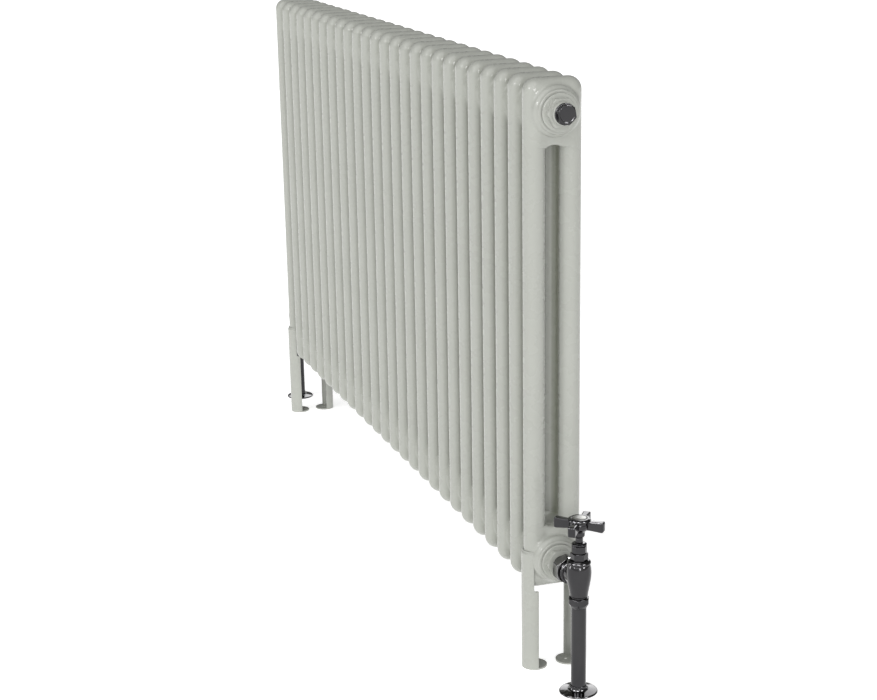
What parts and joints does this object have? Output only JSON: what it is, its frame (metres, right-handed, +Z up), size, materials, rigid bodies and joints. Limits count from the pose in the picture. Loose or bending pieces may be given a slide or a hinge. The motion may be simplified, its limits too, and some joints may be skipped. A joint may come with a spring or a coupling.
{
  "type": "column radiator",
  "caption": "Freestanding two-column tubular radiator: a row of welded round-tube sections on half-round feet, with a sleeved pipe and an angled valve at each end: one cross-head, one lockshield under a cap.",
  "frame": {"origin": "on the floor, midway between the two ends and midway between the front and rear columns", "axes": "+X along the radiator, from the vented end to the plugged end; +Y from the room to the wall side; +Z up"},
  "size_m": [1.3425, 0.0746, 0.7035],
  "materials": {
    "radiator_paint": "smooth gloss powder coat, pale grey-green",
    "black_nickel": "polished dark nickel plating",
    "index_metal": "satin pale metal",
    "brass": "machined brass",
    "copper": "drawn copper tube",
    "zinc_steel": "bright zinc plated steel",
    "seal_rubber": "black rubber",
    "packing": "white PTFE"
  },
  "bodies": {
    "radiator": {"section_01": "radiator_paint", "section_02": "radiator_paint", "section_03": "radiator_paint", "section_04": "radiator_paint", "section_05": "radiator_paint", "section_06": "radiator_paint", "section_07": "radiator_paint", "section_08": "radiator_paint", "section_09": "radiator_paint", "section_10": "radiator_paint", "section_11": "radiator_paint", "section_12": "radiator_paint", "section_13": "radiator_paint", "section_14": "radiator_paint", "section_15": "radiator_paint", "section_16": "radiator_paint", "section_17": "radiator_paint", "section_18": "radiator_paint", "section_19": "radiator_paint", "section_20": "radiator_paint", "section_21": "radiator_paint", "section_22": "radiator_paint", "section_23": "radiator_paint", "section_24": "radiator_paint", "section_25": "radiator_paint", "section_26": "radiator_paint", "leg_front_left": "radiator_paint", "leg_front_right": "radiator_paint", "leg_rear_left": "radiator_paint", "leg_rear_right": "radiator_paint", "reducing_bushes": "radiator_paint", "bush_seals": "seal_rubber", "blanking_plug": "black_nickel", "air_vent_plug": "black_nickel", "union_nuts": "black_nickel", "compression_nuts": "black_nickel", "bonnets": "black_nickel", "gland_nuts": "black_nickel", "pipe_sleeves": "black_nickel", "union_tailpieces": "black_nickel", "valve_body_left": "black_nickel", "valve_body_right": "black_nickel", "olives": "brass", "gland_packings": "packing", "supply_pipes": "copper"},
    "bleed_screw": {"bleed_screw": "brass"},
    "handle": {"valve_handle": "black_nickel", "valve_spindle": "black_nickel", "index_disc": "index_metal", "handle_screw": "zinc_steel"},
    "lockshield_spindle": {"lockshield_spindle": "brass"},
    "lockshield_cap": {"lockshield_cap": "black_nickel"},
    "valve_plug_left": {"valve_plug_left": "brass", "valve_washer_left": "seal_rubber"},
    "floor_plate_left": {"floor_plate_left": "black_nickel"},
    "valve_plug_right": {"valve_plug_right": "brass", "valve_washer_right": "seal_rubber"},
    "floor_plate_right": {"floor_plate_right": "black_nickel"}
  },
  "joints": [
    {"name": "bleed_turn", "type": "hinge", "parent": "radiator", "child": "bleed_screw", "pos_m": [-0.6, 0, 0.667], "axis": [-1, 0, 0], "range_deg": [0, 315]},
    {"name": "lockshield_turn", "type": "hinge", "parent": "radiator", "child": "lockshield_spindle", "pos_m": [-0.6477, 0, 0.175], "axis": [0, 0, 1], "range_deg": [0, 936]},
    {"name": "valve_plug_left_lift", "type": "slide", "parent": "radiator", "child": "valve_plug_left", "axis": [0, 0, 1], "range_m": [0, 0.0039]},
    {"name": "floor_plate_left_lift", "type": "slide", "parent": "radiator", "child": "floor_plate_left", "axis": [0, 0, 1], "range_m": [0, 0.095]},
    {"name": "handle_turn", "type": "hinge", "parent": "radiator", "child": "handle", "pos_m": [0.6477, 0, 0.175], "axis": [0, 0, 1], "range_deg": [0, 936]},
    {"name": "valve_plug_right_lift", "type": "slide", "parent": "radiator", "child": "valve_plug_right", "axis": [0, 0, 1], "range_m": [0, 0.0039]},
    {"name": "floor_plate_right_lift", "type": "slide", "parent": "radiator", "child": "floor_plate_right", "axis": [0, 0, 1], "range_m": [0, 0.095]},
    {"name": "lockshield_cap_lift", "type": "slide", "parent": "radiator", "child": "lockshield_cap", "axis": [0, 0, 1], "range_m": [0, 0.034]}
  ],
  "couplings": [
    {"joint": "valve_plug_left_lift", "follows": "lockshield_turn", "m_per_rad": 0.00023873},
    {"joint": "valve_plug_right_lift", "follows": "handle_turn", "m_per_rad": 0.00023873}
  ]
}
